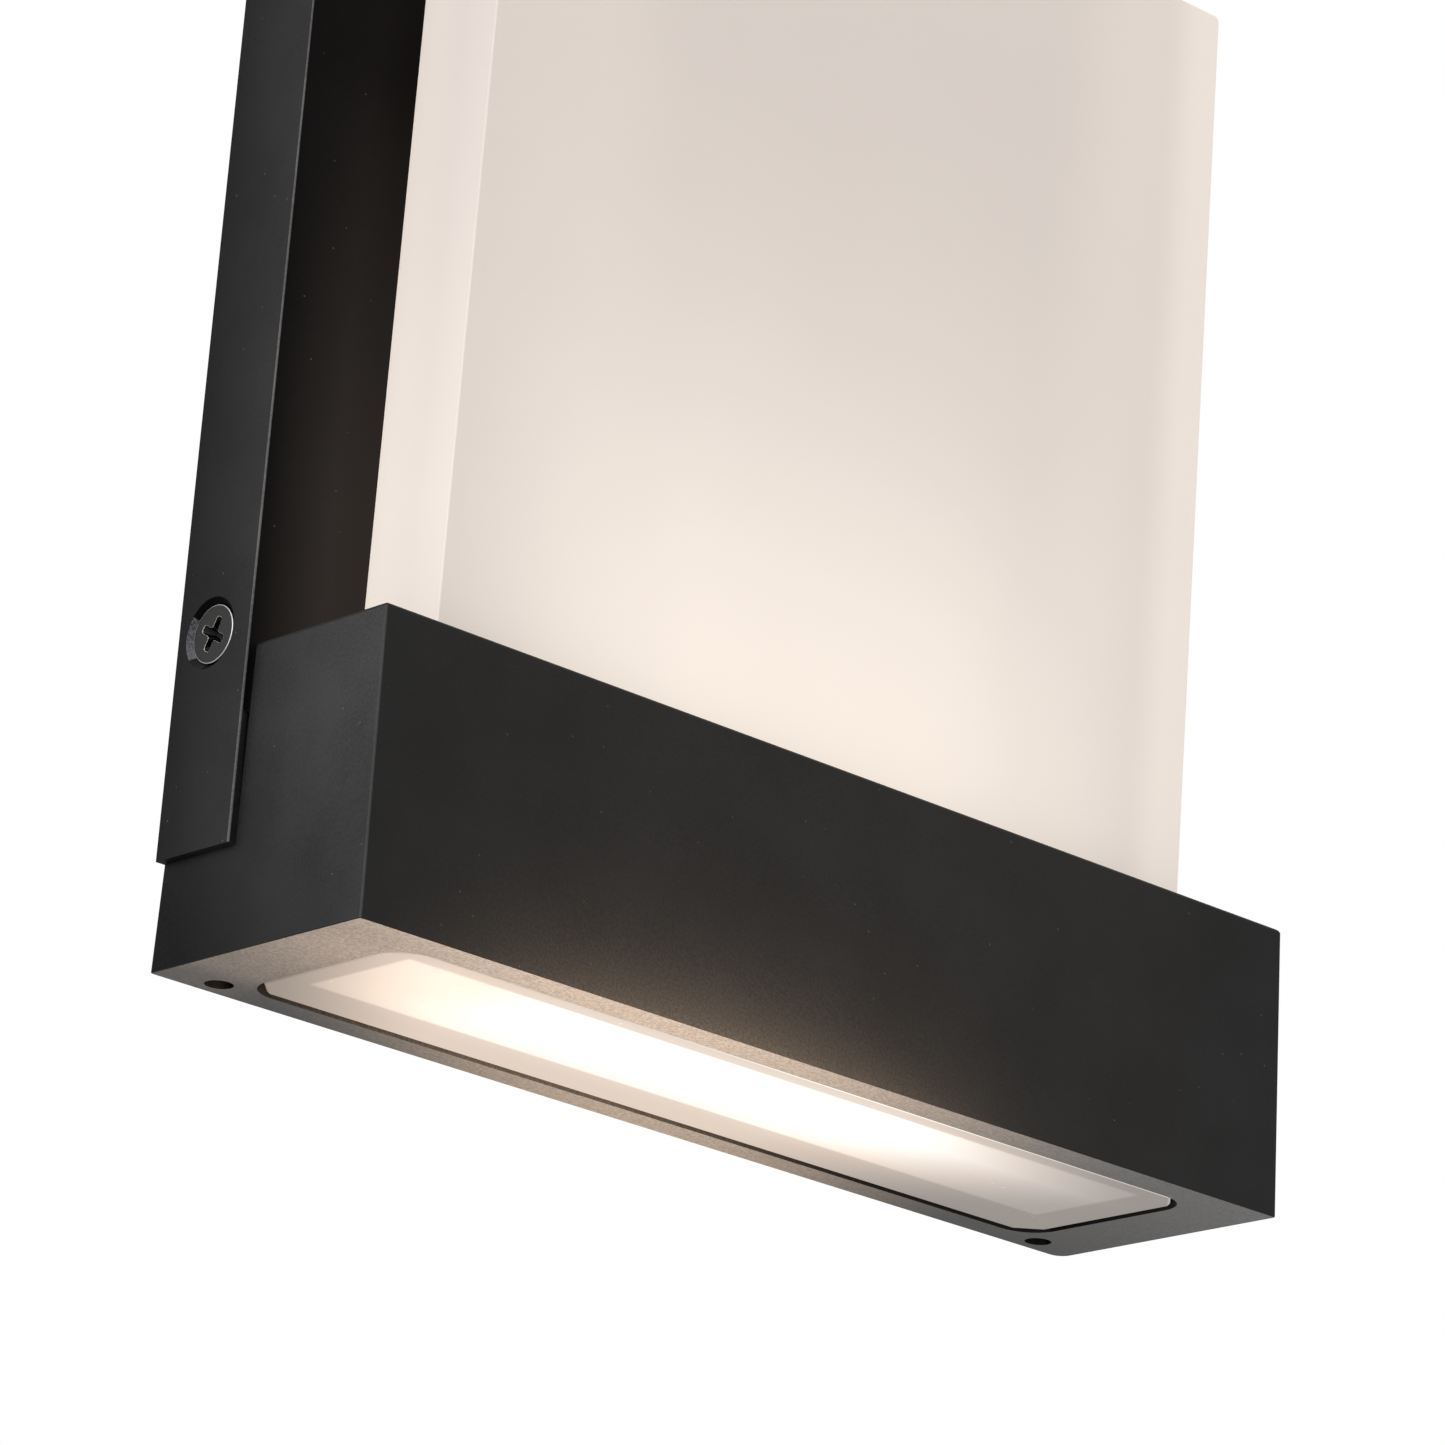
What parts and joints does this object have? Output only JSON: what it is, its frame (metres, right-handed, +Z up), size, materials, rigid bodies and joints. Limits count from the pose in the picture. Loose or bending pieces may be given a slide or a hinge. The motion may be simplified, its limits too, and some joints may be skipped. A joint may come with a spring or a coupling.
{
  "type": "outdoor wall lantern",
  "caption": "Black wall lantern: flat back pan, drafted box housing with a frosted down light, and a free-standing opal block above it.",
  "frame": {"origin": "middle of the wall bracket's rear face, on the wall, midway between its two fixing slots", "axes": "+Z up, +Y into the wall, -Y the lantern's front, +X to the right as seen from the front"},
  "size_m": [0.16, 0.04, 0.183],
  "materials": {
    "black_coat": "fine-textured matt black powder coat",
    "opal": "satin opal acrylic, lit from inside",
    "frosted_glass": "frosted face with a polished edge",
    "silicone": "dark sealing compound",
    "white_plastic": "matt white moulding",
    "zinc_steel": "zinc-plated",
    "black_steel": "black oxide, satin",
    "aluminium": "rolled sheet",
    "rubber": "matt black rubber",
    "foam": "closed-cell foam",
    "board_white": "white solder mask",
    "board_green": "green solder mask",
    "brass": "plain brass",
    "dark_part": "dark sleeve and ferrite",
    "red_lead": "smooth insulation",
    "black_lead": "smooth insulation",
    "brown_lead": "smooth insulation",
    "blue_lead": "smooth insulation",
    "earth_lead": "green insulation with a yellow stripe"
  },
  "bodies": {
    "lantern": {"back_pan": "black_coat", "lamp_housing": "black_coat", "diffuser": "opal", "diffuser_gasket": "silicone", "lens_glass": "frosted_glass", "lens_seal": "silicone", "reflector_tray": "white_plastic", "led_carrier": "aluminium", "down_led_board": "board_white", "up_led_board": "board_white", "diffuser_screw_left": "zinc_steel", "diffuser_screw_right": "zinc_steel", "down_board_screw_left": "zinc_steel", "down_board_screw_right": "zinc_steel", "up_board_screw_left": "zinc_steel", "up_board_screw_right": "zinc_steel", "carrier_front_screw_left": "zinc_steel", "carrier_front_screw_right": "zinc_steel", "carrier_rear_screw_left": "zinc_steel", "carrier_rear_screw_right": "zinc_steel", "pan_screw_left": "zinc_steel", "pan_screw_right": "zinc_steel", "wall_bracket": "zinc_steel", "wall_seal": "foam", "hanger_strip": "zinc_steel", "inlet_grommet": "rubber", "terminal_block": "white_plastic", "terminal_screw_left": "zinc_steel", "terminal_screw_right": "zinc_steel", "earth_washer": "zinc_steel", "earth_lug": "brass", "earth_screw": "brass", "driver_tape": "foam", "driver_case": "white_plastic", "driver_lid": "white_plastic", "driver_board": "board_green", "driver_transformer": "dark_part", "driver_input_capacitor": "dark_part", "driver_output_capacitor": "dark_part", "lead_grommet": "rubber", "led_lead_red": "red_lead", "led_lead_black": "black_lead", "link_lead_red": "red_lead", "link_lead_black": "black_lead", "mains_lead_live": "brown_lead", "mains_lead_neutral": "blue_lead", "mains_lead_earth": "earth_lead"},
    "left_ring": {"screw_seal_left": "rubber"},
    "left_screw": {"side_screw_left": "black_steel"},
    "right_ring": {"screw_seal_right": "rubber"},
    "right_screw": {"side_screw_right": "black_steel"}
  },
  "joints": [
    {"name": "left_ring_slide", "type": "slide", "parent": "lantern", "child": "left_ring", "axis": [-1, 0, 0], "range_m": [0, 0.008]},
    {"name": "left_screw_turn", "type": "hinge", "parent": "left_ring", "child": "left_screw", "pos_m": [-0.0795, -0.0062, -0.0609], "axis": [-1, 0, 0], "range_deg": [0, 4115]},
    {"name": "right_ring_slide", "type": "slide", "parent": "lantern", "child": "right_ring", "axis": [1, 0, 0], "range_m": [0, 0.008]},
    {"name": "right_screw_turn", "type": "hinge", "parent": "right_ring", "child": "right_screw", "pos_m": [0.0795, -0.0062, -0.0609], "axis": [1, 0, 0], "range_deg": [0, 4115]}
  ],
  "couplings": [
    {"joint": "left_screw_turn", "follows": "left_ring_slide", "rad_per_m": 8976},
    {"joint": "right_screw_turn", "follows": "right_ring_slide", "rad_per_m": 8976}
  ]
}
